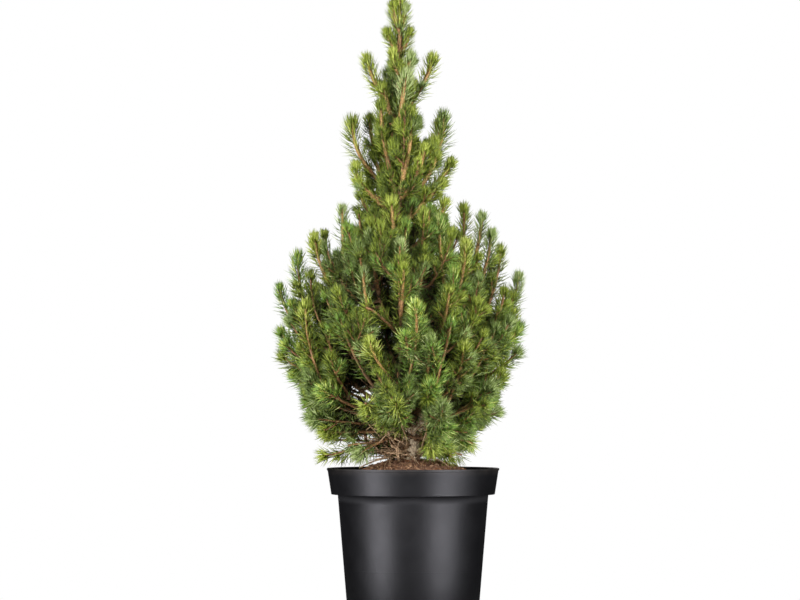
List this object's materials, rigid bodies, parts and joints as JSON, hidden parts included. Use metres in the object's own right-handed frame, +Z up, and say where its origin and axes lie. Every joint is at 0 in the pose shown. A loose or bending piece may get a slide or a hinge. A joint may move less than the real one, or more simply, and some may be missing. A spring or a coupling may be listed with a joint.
{
  "type": "potted dwarf conifer",
  "caption": "Small dense cone-shaped spruce with upright needled shoots, growing in a tapered nursery pot of soil.",
  "frame": {"origin": "centre of the pot's flat underside, on the surface that it stands on", "axes": "+Z up along the pot's axis, the tree's longest extent; -Y towards the side that the picture shows, +X to that view's right"},
  "size_m": [0.2811, 0.2768, 0.6943],
  "materials": {
    "pot": "satin moulded black plastic",
    "soil": "rough crumbly peat with bark fibres",
    "bark": "rough scaly grey-brown bark",
    "needles": "fresh green needles on orange-brown twigs"
  },
  "bodies": {
    "root": {"bough_lower_1": "bark", "bough_lower_2": "bark", "bough_lower_3": "bark", "bough_lower_4": "bark", "bough_lower_5": "bark", "bough_middle_1": "bark", "bough_middle_2": "bark", "bough_middle_3": "bark", "bough_middle_4": "bark", "bough_middle_5": "bark", "bough_middle_6": "bark", "bough_shoulder_1": "bark", "bough_shoulder_2": "bark", "bough_shoulder_3": "bark", "bough_shoulder_4": "bark", "bough_shoulder_5": "bark", "foliage_collar_1": "needles", "foliage_collar_2": "needles", "foliage_collar_3": "needles", "foliage_dome_1": "needles", "foliage_dome_2": "needles", "foliage_dome_3": "needles", "foliage_dome_4": "needles", "foliage_dome_5": "needles", "foliage_leader": "needles", "foliage_lower_1": "needles", "foliage_lower_2": "needles", "foliage_lower_3": "needles", "foliage_lower_4": "needles", "foliage_lower_5": "needles", "foliage_middle_1": "needles", "foliage_middle_2": "needles", "foliage_middle_3": "needles", "foliage_middle_4": "needles", "foliage_middle_5": "needles", "foliage_middle_6": "needles", "foliage_shoulder_1": "needles", "foliage_shoulder_2": "needles", "foliage_shoulder_3": "needles", "foliage_shoulder_4": "needles", "foliage_shoulder_5": "needles", "foliage_skirt_1": "needles", "foliage_skirt_2": "needles", "foliage_skirt_3": "needles", "foliage_skirt_4": "needles", "foliage_skirt_5": "needles", "foliage_spire_1": "needles", "foliage_spire_2": "needles", "foliage_spire_3": "needles", "foliage_top_1": "needles", "foliage_top_2": "needles", "foliage_upper_1": "needles", "foliage_upper_2": "needles", "foliage_upper_3": "needles", "pot": "pot", "soil": "soil", "trunk": "bark"}
  },
  "joints": []
}
